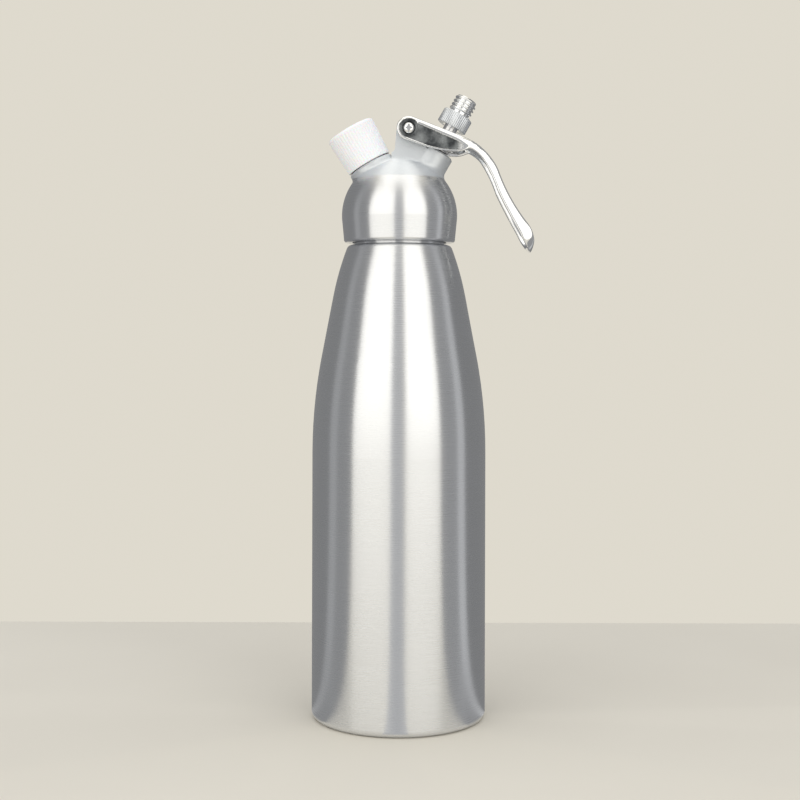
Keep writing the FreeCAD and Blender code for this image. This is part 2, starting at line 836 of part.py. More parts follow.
def wind_spring(label, mean_radius, wire, turns, bottom, top, side):
    """A spring of one unbroken wire, whose ends turn square to the seats they stand on."""
    bend = wire * 1.1
    stub = wire
    low = bottom + stub + bend
    pitch = (top - stub - bend - low) / turns
    quarters = int(round(turns * 4))
    edges = []
    points = []
    for step in range(quarters):
        start, start_way = helix_point(mean_radius, pitch, low, step / 4)
        end, end_way = helix_point(mean_radius, pitch, low, (step + 1) / 4)
        edges += biarc(start, start_way, end, end_way)
    for step in range(quarters * 8 + 1):
        points.append(helix_point(mean_radius, pitch, low, step / 32)[0])
    first, first_way = helix_point(mean_radius, pitch, low, 0)
    last, last_way = helix_point(mean_radius, pitch, low, turns)
    up = Vector(0, 0, 1)
    foot = first - first_way * bend - up * bend
    head = last + last_way * bend + up * bend
    down_stub = Vector(foot.x, foot.y, bottom)
    up_stub = Vector(head.x, head.y, top)
    start_edges = [
        Part.LineSegment(down_stub, foot).toShape(),
        arc_to(foot, first - first_way * bend, first),
    ]
    end_edges = [
        arc_to(last, last + last_way * bend, head),
        Part.LineSegment(head, up_stub).toShape(),
    ]
    path = Part.Wire(start_edges + edges + end_edges)
    section = Part.Wire([Part.Circle(down_stub, up, wire / 2).toShape()])
    pipe = Part.BRepOffsetAPI.MakePipeShell(path)
    pipe.add(section)
    pipe.build()
    pipe.makeSolid()
    spring = document.addObject("Part::Feature", label)
    spring.Label = label
    spring.Shape = pipe.shape()
    turn = Rotation(Vector(0, side, 0), size["axis_tilt"].value)
    spring.Placement = Placement(Vector(0, 0, dome_middle.value), turn)
    gap = least_gap(points, wire)
    straight_volume = math.pi * wire * wire / 4 * path.Length
    print(f"{label}: least gap between its turns {gap:.2f} mm, volume {spring.Shape.Volume:.2f} mm3,"
          f" section times length {straight_volume:.2f} mm3")
    return spring


def least_gap(points, wire):
    """The least gap of a wound wire to itself, over points at least half a turn apart."""
    half_turn = 16
    gaps = [
        (points[first] - points[second]).Length - wire
        for first in range(len(points))
        for second in range(first + half_turn, len(points))
    ]
    return min(gaps)


def make_return_spring():
    """The spring that lifts the stem and the lever."""
    wire = size["spring_wire"].value
    mean = size["collar_radius"].value - 0.8 - wire / 2
    return wind_spring("return_spring", mean, wire, size["spring_turns"].value,
                       spring_seat.value, size["stem_shoulder"].value, 1)


def make_check_spring():
    """The small spring that keeps the non-return ball on its seat."""
    wire = size["check_spring_wire"].value
    ball = size["ball_radius"].value
    mean = ball * 0.6
    below = math.sqrt(ball * ball - mean * mean)
    return wind_spring("check_spring", mean, wire, size["check_spring_turns"].value,
                       retainer_top.value, ball_middle.value - below, -1)


# The gas inlet.
def make_inlet_stud():
    """The stud that a charger holder screws on, with the bores for charger, pin and check valve."""
    crest = size["stud_root_radius"]
    shank = size["stud_shank_radius"]
    groove = size["inlet_boss_top"] - 2.5
    pocket = size["valve_pocket_radius"]
    passage = size["gas_passage_radius"]
    top = size["stud_top"]
    depth = 0.8
    outline = [
        (retainer_radius, size["stud_bottom"]),
        (shank, size["stud_bottom"]),
        (shank, groove),
        (shank - depth, groove),
        (shank - depth, groove + 1),
        (shank, groove + 1),
        (shank, size["inlet_boss_top"]),
        (crest, size["inlet_boss_top"]),
        (crest, top - 0.8),
        (crest - 0.8, top),
        (size["charger_bore_radius"], top),
        (size["charger_bore_radius"], pin_plate_top),
        (pin_plate_radius, pin_plate_top),
        (pin_plate_radius, pin_plate_bottom),
        (passage, pin_plate_bottom),
        (passage, seat_top),
        (pocket, seat_top - (pocket - passage)),
        (pocket, retainer_top),
        (retainer_radius, retainer_top),
    ]
    body = turned("inlet_stud", outline)
    document.recompute()
    low = size["inlet_boss_top"] + 1.6
    foot = crest - 0.15
    tooth = [
        (foot, low - 0.8),
        (stud_crest_radius, low - 0.25),
        (stud_crest_radius, low + 0.25),
        (foot, low + 0.8),
    ]
    wind_thread(body, "stud_thread", tooth, size["stud_pitch"], top - low - 1.9)
    set_on_axis(body, -1)
    ring = o_ring("stud_o_ring", shank, Size(depth), groove + 0.5)
    place_o_ring(ring, groove + 0.5, -1)
    return body, ring


def make_piercing_pin():
    """The pointed pin on its plate that opens a charger, with gas holes beside it."""
    tip = pin_plate_top + size["pin_length"]
    point = 1.6
    outline = [
        (0, pin_plate_bottom),
        (pin_plate_radius, pin_plate_bottom),
        (pin_plate_radius, pin_plate_top),
        (size["pin_radius"], pin_plate_top),
        (size["pin_radius"], tip - point),
        (0, tip),
    ]
    body = turned("piercing_pin", outline)
    document.recompute()
    away = size["pin_radius"] - 0.1
    holes = new_sketch(body, "gas_hole_profile", "XY_Plane")
    item = holes.addGeometry(Part.Circle(Vector(away.value, 0, 0), Vector(0, 0, 1), 0.5), False)
    bind(holes, "DistanceX", [-1, 1, item, 3], away)
    holes.addConstraint(Sketcher.Constraint("PointOnObject", item, 3, -1))
    bind(holes, "Radius", [item], size["gas_hole_radius"])
    hole = body.newObject("PartDesign::Pocket", "gas_hole")
    hole.Profile = holes
    hole.Reversed = True
    hole.setExpression("Length", (pin_plate_top + 1).formula)
    document.recompute()
    pattern = body.newObject("PartDesign::PolarPattern", "gas_holes")
    pattern.Originals = [hole]
    pattern.Axis = (origin_plane(body, "Z_Axis"), [""])
    pattern.Angle = 360
    pattern.Occurrences = 3
    body.Tip = pattern
    document.recompute()
    set_on_axis(body, -1)
    return body


def make_charger_seal():
    """The rubber ring that a charger's neck presses on."""
    return on_inlet("charger_seal", ring_outline(Size(2.4), size["charger_bore_radius"],
                                                 pin_plate_top, seal_top))


def make_check_ball():
    """The ball of the non-return valve."""
    ball = document.addObject("Part::Sphere", "check_ball")
    ball.Label = "check_ball"
    ball.setExpression("Radius", size["ball_radius"].formula)
    place_o_ring(ball, ball_middle, -1)
    return ball


def make_check_retainer():
    """The perforated plug that holds the check valve's spring."""
    body = turned("check_retainer", [
        (0, size["stud_bottom"]),
        (retainer_radius, size["stud_bottom"]),
        (retainer_radius, retainer_top),
        (0, retainer_top),
    ])
    document.recompute()
    away = retainer_radius - 1.9
    holes = new_sketch(body, "retainer_hole_profile", "XY_Plane")
    item = holes.addGeometry(Part.Circle(Vector(away.value, 0, 0), Vector(0, 0, 1), 0.5), False)
    bind(holes, "DistanceX", [-1, 1, item, 3], away)
    holes.addConstraint(Sketcher.Constraint("PointOnObject", item, 3, -1))
    bind(holes, "Radius", [item], size["gas_hole_radius"] + 0.1)
    hole = body.newObject("PartDesign::Pocket", "retainer_hole")
    hole.Profile = holes
    hole.Reversed = True
    hole.setExpression("Length", (retainer_top + 1).formula)
    document.recompute()
    pattern = body.newObject("PartDesign::PolarPattern", "retainer_holes")
    pattern.Originals = [hole]
    pattern.Axis = (origin_plane(body, "Z_Axis"), [""])
    pattern.Angle = 360
    pattern.Occurrences = 6
    body.Tip = pattern
    document.recompute()
    set_on_axis(body, -1)
    return body


def make_cap():
    """The plastic cap over the inlet stud."""
    bottom = size["inlet_boss_top"] + size["cap_gap"]
    top = bottom + size["cap_height"]
    bore = stud_crest_radius + size["cap_clearance"]
    edge = size["cap_edge"]
    return on_inlet("protective_cap", [
        (bore, bottom),
        (size["cap_bottom_radius"] - 0.3, bottom),
        (size["cap_bottom_radius"], bottom + 0.3),
        (size["cap_top_radius"], top - edge),
        (size["cap_top_radius"] - edge, top, edge),
        (0, top),
        (0, top - size["cap_roof"]),
        (bore - 1, top - size["cap_roof"]),
        (bore, top - size["cap_roof"] - 1, -1),
    ])


# The lever. Its points are given from the pivot.
def from_pivot(points):
    return [(size["pivot_x"] + x, pivot_z + z, *radius) for x, z, *radius in points]


def free_sketch(label, outline, place):
    sketch = document.addObject("Sketcher::SketchObject", label)
    sketch.Placement = place
    draw(sketch, outline)
    return sketch


def extrude(label, sketch, forward, back):
    """Extrudes a sketch both ways along its normal."""
    solid = document.addObject("Part::Extrusion", label)
    solid.Base = sketch
    solid.DirMode = "Normal"
    solid.Solid = True
    solid.setExpression("LengthFwd", as_size(forward).formula)
    solid.setExpression("LengthRev", as_size(back).formula)
    return solid


def side_slab(label, points, half_width):
    """An outline in the plane of the lever, extruded to both sides."""
    upright = Placement(Vector(0, 0, 0), Rotation(Vector(1, 0, 0), 90))
    sketch = free_sketch(f"{label}_outline", from_pivot(points), upright)
    return extrude(label, sketch, half_width, half_width)


def combine_solids(kind, label, base, tool):
    result = document.addObject(f"Part::{kind}", label)
    result.Label = label
    if kind == "Cut":
        result.Base = base
        result.Tool = tool
    else:
        result.Shapes = [base] + tool
    return result


def lever_side():
    """The lever from the side: round ear, straight plate, bent handle and its tip."""
    ear = size["ear_radius"]
    slope = size["lever_slope"]
    return [
        (-ear, 0, ear),
        (ear * -0.42, ear * -0.9075, ear),
        (9.8, -10),
        (24.4, -12.2, 60),
        (31.6, -10.4, 14),
        (37.5, -15, -22),
        (46, -32.5, -70),
        (57, -53.4, 300),
        (63.2, -64, 60),
        (65.1, -57.5, 15),
        (61, -47.8, 17.5),
        (46.3, -20.8, -95),
        (plate_end_x(ear), plate_end_z(ear), 32.4),
        (ear * sine(slope), ear * cosine(slope)),
    ]


def plate_end_x(level):
    slope = size["lever_slope"]
    return level * sine(slope) + cosine(slope) * size["plate_length"]


def plate_end_z(level):
    slope = size["lever_slope"]
    return level * cosine(slope) - sine(slope) * size["plate_length"]


def lever_hollow():
    """The room under the plate, between the cheeks and down inside the handle."""
    slope = size["lever_slope"]
    under = size["ear_radius"] - size["plate"]
    return [
        (-14, -16),
        (24, -26),
        (56, -70),
        (61, -61.5),
        (62.7, -57, 13),
        (59.1, -48.9, 15.3),
        (44.3, -21.6, -97.2),
        (plate_end_x(under), plate_end_z(under), 30.2),
        (under * sine(slope), under * cosine(slope)),
        (1.2, 14),
        (-14, 14),
    ]


def lever_plan(wide, narrow, tip):
    """The lever's width along a line 45 degrees down from the pivot, with its round tip."""
    start = 24
    end = 44
    step = (wide - narrow) / 2
    arc = (100 + step * step) / (step * 2)
    middle = (start + end) / 2
    round_start = tip - narrow
    return [
        (-16, -wide),
        (start, -wide),
        (middle, step - wide, arc),
        (end, -narrow, -arc),
        (round_start, -narrow),
        (tip, 0, narrow),
        (round_start, narrow, narrow),
        (end, narrow),
        (middle, wide - step, -arc),
        (start, wide, arc),
        (-16, wide),
    ]


def plan_slab(label, wide, narrow, tip):
    sketch = document.addObject("Sketcher::SketchObject", f"{label}_outline")
    place_at_pivot(sketch, Rotation(Vector(0, 1, 0), 45), 0)
    draw(sketch, lever_plan(wide, narrow, tip))
    return extrude(label, sketch, 90, 90)


def place_at_pivot(item, turn, y):
    y = as_size(y)
    item.Placement = Placement(Vector(size["pivot_x"].value, y.value, pivot_z.value), turn)
    item.setExpression("Placement.Base.x", size["pivot_x"].formula)
    item.setExpression("Placement.Base.y", y.formula)
    item.setExpression("Placement.Base.z", pivot_z.formula)


def cross_cylinder(label, radius, first, last):
    """A cylinder along Y at the pivot, between two distances from the middle plane."""
    cylinder = document.addObject("Part::Cylinder", label)
    cylinder.setExpression("Radius", as_size(radius).formula)
    cylinder.setExpression("Height", (as_size(last) - first).formula)
    place_at_pivot(cylinder, Rotation(Vector(1, 0, 0), -90), first)
    return cylinder


def panel_outline():
    """The recessed panel on a cheek, a rim's width inside the lever's outline."""
    inner = size["ear_radius"] - 1.3
    return [
        (-inner, 0, inner),
        (inner * -0.42, inner * -0.9075, inner),
        (9.9, -9.2),
        (24.4, -11.4, 60),
        (30.2, -10, 16),
        (29.6, -8.4, 1),
        (1.6, 3.8),
        (inner * -0.3, inner * 0.9539, inner * 1.1),
    ]


def make_lever():
    """The cast lever: plate, two cheeks, hollow handle, ear bosses and thrust pads."""
    wide = lever_half
    narrow = size["handle_width"] / 2
    cheek = size["cheek"]
    tip = size["lever_tip"]
    outer = combine_solids("MultiCommon", "lever_outer",
                           side_slab("lever_sides", lever_side(), wide + 2),
                           [plan_slab("lever_plan", wide, narrow, tip)])
    inner = combine_solids("MultiCommon", "lever_inner",
                           side_slab("hollow_sides", lever_hollow(), wide + 2),
                           [plan_slab("hollow_plan", wide - cheek, narrow - cheek, tip - cheek)])
    shell = combine_solids("Cut", "lever_shell", outer, inner)
    boss_foot = lug_half + size["ear_gap"]
    ears = [
        cross_cylinder("far_ear", size["ear_boss_radius"], boss_foot, wide - 0.3),
        cross_cylinder("near_ear", size["ear_boss_radius"], 0.3 - wide, -boss_foot),
    ]
    pads = [thrust_pad("far_pad", pad_start, cheek_inside + 0.4),
            thrust_pad("near_pad", -cheek_inside - 0.4, -pad_start)]
    solid = combine_solids("MultiFuse", "lever_solid", shell, ears + pads)
    panel = combine_solids("Cut", "panel_room",
                           side_slab("panel_sides", panel_outline(), wide + 3),
                           side_slab("panel_floor", panel_outline(), wide - size["panel_depth"]))
    ring = cross_cylinder("ear_ring", size["ear_boss_radius"], -wide - 4, wide + 4)
    panels = combine_solids("Cut", "panels", panel, ring)
    hole = cross_cylinder("ear_hole", size["pivot_pin_radius"] + size["pivot_clearance"],
                          -wide - 4, wide + 4)
    rooms = [
        cross_cylinder("far_counterbore", size["screw_head_radius"] + 0.4,
                       screw_seat - head_counterbore, wide + 4),
        cross_cylinder("near_counterbore", size["screw_head_radius"] + 0.4,
                       -wide - 4, head_counterbore - screw_seat),
    ]
    cutters = combine_solids("MultiFuse", "lever_cutters", panels, [hole, stem_slot()] + rooms)
    return combine_solids("Cut", "lever", solid, cutters)


def thrust_pad(label, first, last):
    """A rounded pad beside the stem, just clear of the collar."""
    level = collar_top + size["thrust_pad_radius"] + 0.05
    pad = document.addObject("Part::Cylinder", label)
    first = as_size(first)
    pad.setExpression("Radius", size["thrust_pad_radius"].formula)
    pad.setExpression("Height", (last - first).formula)
    x = sine(size["axis_tilt"]) * level
    z = dome_middle + cosine(size["axis_tilt"]) * level
    pad.Placement = Placement(Vector(x.value, first.value, z.value), Rotation(Vector(1, 0, 0), -90))
    pad.setExpression("Placement.Base.x", x.formula)
    pad.setExpression("Placement.Base.y", first.formula)
    pad.setExpression("Placement.Base.z", z.formula)
    return pad


def stem_slot():
    """The long hole in the plate that lets the stem through while the lever swings."""
    half = size["stem_neck_radius"] + 0.5
    low = -2.2
    high = 0.6
    outline = [
        (low, -half, half),
        (high, -half),
        (high + half, 0, half),
        (high, half, half),
        (low, half),
        (low - half, 0, half),
    ]
    sketch = document.addObject("Sketcher::SketchObject", "stem_slot_outline")
    set_on_axis(sketch, 1)
    draw(sketch, outline)
    return extrude("stem_slot", sketch, ring_top + 0.5, 0)


def make_pivot_pin():
    """The hollow pin through the lug and both ears."""
    solid = cross_cylinder("pin_outside", size["pivot_pin_radius"], -screw_seat, screw_seat)
    bore = cross_cylinder("pin_bore", size["screw_radius"], -lever_half, lever_half)
    return combine_solids("Cut", "pivot_pin", solid, bore)


def make_pivot_screws():
    """Two pan-head screws, one from each side, as one node of two solids."""
    head = size["screw_head"]
    radius = size["screw_head_radius"]
    body = turned("pivot_screw", [
        (0, -size["screw_length"]),
        (size["screw_radius"], -size["screw_length"]),
        (size["screw_radius"], 0),
        (radius, 0),
        (radius, head * 0.45),
        (radius - 1.8, head, 2.6),
        (0, head),
    ])
    document.recompute()
    top = new_sketch(body, "cross_profile", "XY_Plane", Placement(Vector(0, 0, head.value), Rotation()))
    top.setExpression("AttachmentOffset.Base.z", head.formula)
    arm = radius * 0.58
    half = Size(0.42)
    draw(top, [
        (half, half), (half, arm), (-half, arm), (-half, half), (-arm, half), (-arm, -half),
        (-half, -half), (-half, -arm), (half, -arm), (half, -half), (arm, -half), (arm, half),
    ])
    cross = body.newObject("PartDesign::Pocket", "cross_recess")
    cross.Profile = top
    cross.setExpression("Length", (head * 0.6).formula)
    place_at_pivot(body, Rotation(Vector(1, 0, 0), 90), -screw_seat)
    mirrored = document.addObject("Part::Mirroring", "far_pivot_screw")
    mirrored.Source = body
    mirrored.Normal = Vector(0, 1, 0)
    group = document.addObject("Part::Compound", "pivot_screws")
    group.Label = "pivot_screws"
    group.Links = [body, mirrored]
    return group


def build_all():
    pieces = [make_bottle(), make_gasket(), make_head()]
    pieces += make_valve_bush()
    pieces += [make_stem(), make_stem_o_rings(), make_valve_seal(), make_collar()]
    pieces += [make_nozzle(), make_nozzle_seal(), make_knurled_ring()]
    pieces += make_inlet_stud()
    pieces += [make_piercing_pin(), make_charger_seal(), make_check_ball()]
    pieces += [make_check_retainer(), make_cap(), make_return_spring(), make_check_spring()]
    pieces += [make_lever(), make_pivot_pin(), make_pivot_screws()]
    return pieces


def check(pieces):
    """Stops where any object failed or a piece has no valid solid."""
    for item in document.Objects:
        bad = [state for state in item.State if state in ("Invalid", "Error")]
        if bad:
            raise RuntimeError(f"{item.Label} is {bad}")
    for piece in pieces:
        if piece.Shape.isNull() or not piece.Shape.isValid() or not piece.Shape.Solids:
            raise RuntimeError(f"{piece.Label} has no valid solid")


def write(pieces):
    os.makedirs("parts", exist_ok=True)
    for piece in pieces:
        piece.Shape.exportStep(f"parts/{piece.Label}.step")
        box = piece.Shape.BoundBox
        print(f"{piece.Label}: {len(piece.Shape.Solids)} solid, {piece.Shape.Volume:.1f} mm3,"
              f" X {box.XMin:.2f}..{box.XMax:.2f}, Y {box.YMin:.2f}..{box.YMax:.2f},"
              f" Z {box.ZMin:.2f}..{box.ZMax:.2f}")


pieces = build_all()
document.recompute()
check(pieces)
write(pieces)
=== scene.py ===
import math

import bmesh
import bpy
from mathutils import Matrix, Vector


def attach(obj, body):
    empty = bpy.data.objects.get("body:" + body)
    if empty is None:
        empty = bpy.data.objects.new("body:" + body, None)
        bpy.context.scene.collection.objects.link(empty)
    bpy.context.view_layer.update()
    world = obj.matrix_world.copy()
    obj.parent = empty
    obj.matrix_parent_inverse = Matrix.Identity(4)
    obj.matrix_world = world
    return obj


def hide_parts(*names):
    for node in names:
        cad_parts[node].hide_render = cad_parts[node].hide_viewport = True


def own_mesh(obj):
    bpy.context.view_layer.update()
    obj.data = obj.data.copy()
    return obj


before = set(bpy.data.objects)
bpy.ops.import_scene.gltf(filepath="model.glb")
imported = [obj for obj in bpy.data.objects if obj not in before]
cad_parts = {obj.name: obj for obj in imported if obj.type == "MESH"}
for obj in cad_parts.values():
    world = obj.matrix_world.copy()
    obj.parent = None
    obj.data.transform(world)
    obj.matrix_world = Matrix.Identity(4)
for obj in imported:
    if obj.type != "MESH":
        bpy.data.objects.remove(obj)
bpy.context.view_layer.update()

# Lengths in metres, angles in degrees. The bottle stands on the origin; the valve and the
# gas inlet stand on two axes tilted to +X and -X that meet in the middle of the dome.
DOME_MIDDLE = Vector((0, 0, 0.2597))
AXIS_TILT = math.radians(30)
MACHINED_TOP = 0.2788
CAP_RIBS = 48
KNURL_RIBS = 48

# The springs: middle radius, wire, turns, seat and top along their tilted axes.
VALVE_SPRING = {"mean": 0.00535, "wire": 0.0009, "turns": 3, "bottom": 0.0345, "top": 0.0443}
BALL_SPRING = {"mean": 0.00144, "wire": 0.0004, "turns": 2.5, "bottom": 0.0205, "top": 0.025566}
WIRE_SIDES = 14

# The lever: its pivot, the level of its sunk panels, the size of the cubes its even mesh is made
# from, how often that mesh is smoothed, and the line of its rounded outer edge from the pivot.
PIVOT = Vector((0.00467, 0, 0.3042))
PANEL_Y = 0.0117
LEVER_CUBE = 0.00034
LEVER_SMOOTHINGS = 26
LEVER_EDGE = ((-0.0048, 0.0045), (0, 0.0064), (0.0023, 0.0060), (0.0289, -0.0045), (0.0368, -0.0093),
              (0.0428, -0.0149), (0.0463, -0.0208), (0.0530, -0.0346), (0.0610, -0.0478), (0.0651, -0.0575),
              (0.0632, -0.0640))

# The photograph's camera, worked out from the ellipses of base, neck and head.
CAMERA_DISTANCE = 0.730
CAMERA_HEIGHT = 0.2004
CAMERA_SIDE = 0.0004
CAMERA_ROLL = -0.15
LENS = 63.0
HORIZON_SHIFT = -0.0875

# The studio: a pale floor that ends behind the bottle; grey cards that stand round it, each with
# the azimuths of its two edges and its tone; and lamps, each with its azimuth, width and radiance.
FLOOR_BACK = 0.229
FLOOR_DEPTH = 2.6
BACKDROP = (0.735, 0.70, 0.615)
CARD_DISTANCE = 1.3
CARDS = (
    ("left_far_card", -172, -102, 0.235),
    ("left_strip", -102, -88, 0.38),
    ("left_near_card", -88, -62.5, 0.28),
    ("middle_card", -10.5, 7, 0.46),
    ("right_near_card", 55.5, 82, 0.31),
    ("right_strip", 82, 95, 0.54),
    ("right_far_card", 95, 172, 0.23),
)
SOFTBOX_DISTANCE = 1.1
SOFTBOX_BOTTOM = 0.02
SOFTBOX_TOP = 1.6
SOFTBOXES = (
    ("left_softbox", -36, 1.07, 0.70),
    ("right_softbox", 32, 0.92, 0.735),
)
TOP_SOFTBOX_WIDTH = 1.2
TOP_SOFTBOX_HEIGHT = 1.5
TOP_SOFTBOX_RADIANCE = 0.66


def tilted_place(side, level=0.0):
    """The place of a tilted axis: its local Z runs along the axis from the dome's middle."""
    turn = Matrix.Rotation(side * AXIS_TILT, 4, "Y")
    return Matrix.Translation(DOME_MIDDLE) @ turn @ Matrix.Translation((0, 0, level))


# Materials.
class Surface:
    """A material whose nodes are added one by one."""

    def __init__(self, name):
        self.material = bpy.data.materials.new(name)
        self.material.use_nodes = True
        self.nodes = self.material.node_tree.nodes
        self.links = self.material.node_tree.links
        self.shader = self.nodes["Principled BSDF"]
        self.place = self.nodes.new("ShaderNodeTexCoord").outputs["Object"]

    def add(self, kind, **settings):
        node = self.nodes.new(kind)
        for name, value in settings.items():
            setattr(node, name, value)
        return node

    def join(self, source, target):
        self.links.new(source, target)

    def scaled(self, scale):
        node = self.add("ShaderNodeMapping")
        node.inputs["Scale"].default_value = scale
        self.join(self.place, node.inputs["Vector"])
        return node.outputs["Vector"]

    def noise(self, scale, detail=3.0, stretch=(1, 1, 1), distortion=0.0):
        node = self.add("ShaderNodeTexNoise")
        node.inputs["Scale"].default_value = scale
        node.inputs["Detail"].default_value = detail
        node.inputs["Distortion"].default_value = distortion
        self.join(self.scaled(stretch), node.inputs["Vector"])
        return node.outputs["Fac"]

    def ramp(self, source, low, high, low_value, high_value):
        node = self.add("ShaderNodeMapRange")
        node.inputs["From Min"].default_value = low
        node.inputs["From Max"].default_value = high
        node.inputs["To Min"].default_value = low_value
        node.inputs["To Max"].default_value = high_value
        self.join(source, node.inputs["Value"])
        return node.outputs["Result"]

    def combine(self, kind, first, second):
        node = self.add("ShaderNodeMath", operation=kind)
        for index, value in enumerate((first, second)):
            if isinstance(value, (int, float)):
                node.inputs[index].default_value = value
            else:
                self.join(value, node.inputs[index])
        return node.outputs["Value"]

    def mix(self, share, first, second):
        node = self.add("ShaderNodeMix", data_type="RGBA")
        self.join(share, node.inputs[0])
        for index, colour in ((6, first), (7, second)):
            if isinstance(colour, tuple):
                node.inputs[index].default_value = (*colour, 1)
            else:
                self.join(colour, node.inputs[index])
        return node.outputs[2]

    def blend(self, share, first, second):
        node = self.add("ShaderNodeMix", data_type="FLOAT")
        self.join(share, node.inputs[0])
        for index, value in ((2, first), (3, second)):
            if isinstance(value, (int, float)):
                node.inputs[index].default_value = value
            else:
                self.join(value, node.inputs[index])
        return node.outputs[0]

    def axes(self):
        node = self.add("ShaderNodeSeparateXYZ")
        self.join(self.place, node.inputs[0])
        return node.outputs

    def bump(self, height, distance, strength=1.0, after=None):
        node = self.add("ShaderNodeBump")
        node.inputs["Distance"].default_value = distance
        node.inputs["Strength"].default_value = strength
        self.join(height, node.inputs["Height"])
        if after:
            self.join(after, node.inputs["Normal"])
        return node.outputs["Normal"]

    def set(self, name, value):
        socket = self.shader.inputs[name]
        if isinstance(value, tuple):
            socket.default_value = (*value, 1) if len(value) == 3 else value
        elif isinstance(value, (int, float)):
            socket.default_value = value
        else:
            self.join(value, socket)


def brushed_aluminium(name, tint, rough, grain=1.0):
    """Satin aluminium turned on a lathe: fine lines run level round the piece."""
    surface = Surface(name)
    fine = surface.noise(1.0, 4, (90, 90, 9000))
    coarse = surface.noise(1.0, 3, (24, 24, 2600))
    cloud = surface.noise(24, 2)
    lines = surface.combine("ADD", surface.combine("MULTIPLY", fine, 0.6),
                            surface.combine("MULTIPLY", coarse, 0.4))
    dark = tuple(value * 0.94 for value in tint)
    surface.set("Metallic", 1.0)
    surface.set("Base Color", surface.mix(surface.ramp(lines, 0.3, 0.7, 0, 1), dark, tint))
    spread = surface.combine("ADD", surface.ramp(lines, 0.25, 0.75, rough - 0.03, rough + 0.04),
                         surface.ramp(cloud, 0.3, 0.7, -0.02, 0.02))
    surface.set("Roughness", spread)
    surface.set("Anisotropic", 0.85)
    surface.set("Anisotropic Rotation", 0.25)
    tangent = surface.add("ShaderNodeTangent", direction_type="RADIAL", axis="Z")
    surface.join(tangent.outputs["Tangent"], surface.shader.inputs["Tangent"])
    surface.set("Normal", surface.bump(lines, 0.0000015 * grain, 0.5))
    return surface


def head_metal():
    """The head: turned like the bottle up to the shoulder, pale and matt as cast above it."""
    surface = brushed_aluminium("head_aluminium", (0.83, 0.845, 0.87), 0.28, grain=0.45)
    x, y, z = surface.axes()
    above = surface.ramp(z, MACHINED_TOP - 0.0002, MACHINED_TOP + 0.0005, 0, 1)
    turned_colour = surface.shader.inputs["Base Color"].links[0].from_socket
    turned_rough = surface.shader.inputs["Roughness"].links[0].from_socket
    grain = surface.noise(2600, 2)
    cast = surface.mix(surface.ramp(grain, 0.3, 0.7, 0, 1), (0.83, 0.86, 0.885), (0.87, 0.90, 0.925))
    surface.set("Base Color", surface.mix(above, turned_colour, cast))
    surface.set("Roughness", surface.blend(above, turned_rough, surface.ramp(grain, 0.3, 0.7, 0.56, 0.64)))
    surface.set("Metallic", surface.ramp(above, 0, 1, 1.0, 0.72))
    return surface.material


def chrome(name, rough=0.07, panels=False):
    """Polished chrome over a casting; the lever's sunk panels are pebbled, with a near-black base colour
    painted on as shade for the dark reflections in their recesses.
    """
    surface = Surface(name)
    wave = surface.noise(140, 2)
    smear = surface.noise(420, 3)
    surface.set("Metallic", 1.0)
    colour = (0.88, 0.89, 0.90)
    roughness = surface.ramp(smear, 0.3, 0.7, rough, rough + 0.06)
    normal = surface.bump(wave, 0.00004, 0.2)
    if panels:
        sunk = surface.add("ShaderNodeAttribute", attribute_name="sunk_panel").outputs["Fac"]
        inside = surface.ramp(sunk, 0.25, 0.75, 0, 1)
        pebbles = surface.noise(1700, 3, distortion=0.4)
        painted_shade_patches = surface.noise(150, 3)
        # Painted shade: the sunk panels get a near-black base colour that stands in for the dark
        # surroundings the recessed chrome reflects.
        dark = surface.mix(surface.ramp(painted_shade_patches, 0.36, 0.64, 0, 1),
                           (0.055, 0.06, 0.065), (0.25, 0.265, 0.275))
        surface.set("Base Color", surface.mix(inside, colour, dark))
        roughness = surface.blend(inside, roughness, 0.3)
        normal = surface.bump(surface.combine("MULTIPLY", pebbles, inside), 0.0005, 0.9, after=normal)
    else:
        surface.set("Base Color", colour)
    surface.set("Roughness", roughness)
    surface.set("Normal", normal)
    return surface.material


def turned_steel(name, tint=(0.74, 0.74, 0.75), rough=0.22):
    """Steel or aluminium turned smooth, with faint tool lines."""
    surface = Surface(name)
    lines = surface.noise(1.0, 3, (300, 300, 3000))
    surface.set("Metallic", 1.0)
    surface.set("Base Color", surface.mix(surface.ramp(lines, 0.3, 0.7, 0, 1),
                                          tuple(value * 0.85 for value in tint), tint))
    surface.set("Roughness", surface.ramp(lines, 0.3, 0.7, rough - 0.05, rough + 0.08))
    surface.set("Normal", surface.bump(lines, 0.00001, 0.4))
    return surface.material


def white_plastic():
    """The cap's moulded plastic, slightly translucent."""
    surface = Surface("white_plastic")
    speck = surface.noise(900, 3)
    cloud = surface.noise(60, 2)
    surface.set("Base Color", surface.mix(surface.ramp(cloud, 0.3, 0.7, 0, 1),
                                          (0.88, 0.88, 0.89), (0.92, 0.92, 0.93)))
    surface.set("Roughness", surface.ramp(speck, 0.3, 0.7, 0.36, 0.48))
    surface.set("Subsurface Weight", 0.15)
    surface.set("Subsurface Scale", 0.002)
    surface.set("Normal", surface.bump(speck, 0.00002, 0.4))
    return surface.material


def silicone():
    """The red-brown silicone of gasket and seals."""
    surface = Surface("seal_silicone")
    cloud = surface.noise(300, 3)
    surface.set("Base Color", surface.mix(surface.ramp(cloud, 0.3, 0.7, 0, 1),
                                          (0.42, 0.10, 0.06), (0.52, 0.14, 0.09)))
    surface.set("Roughness", surface.ramp(cloud, 0.3, 0.7, 0.45, 0.6))
    surface.set("Normal", surface.bump(cloud, 0.00003, 0.5))
    return surface.material


def use(material, *names):
    """Gives CAD nodes a material."""
    for name in names:
        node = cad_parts[name]
        node.data.materials.clear()
        node.data.materials.append(material)


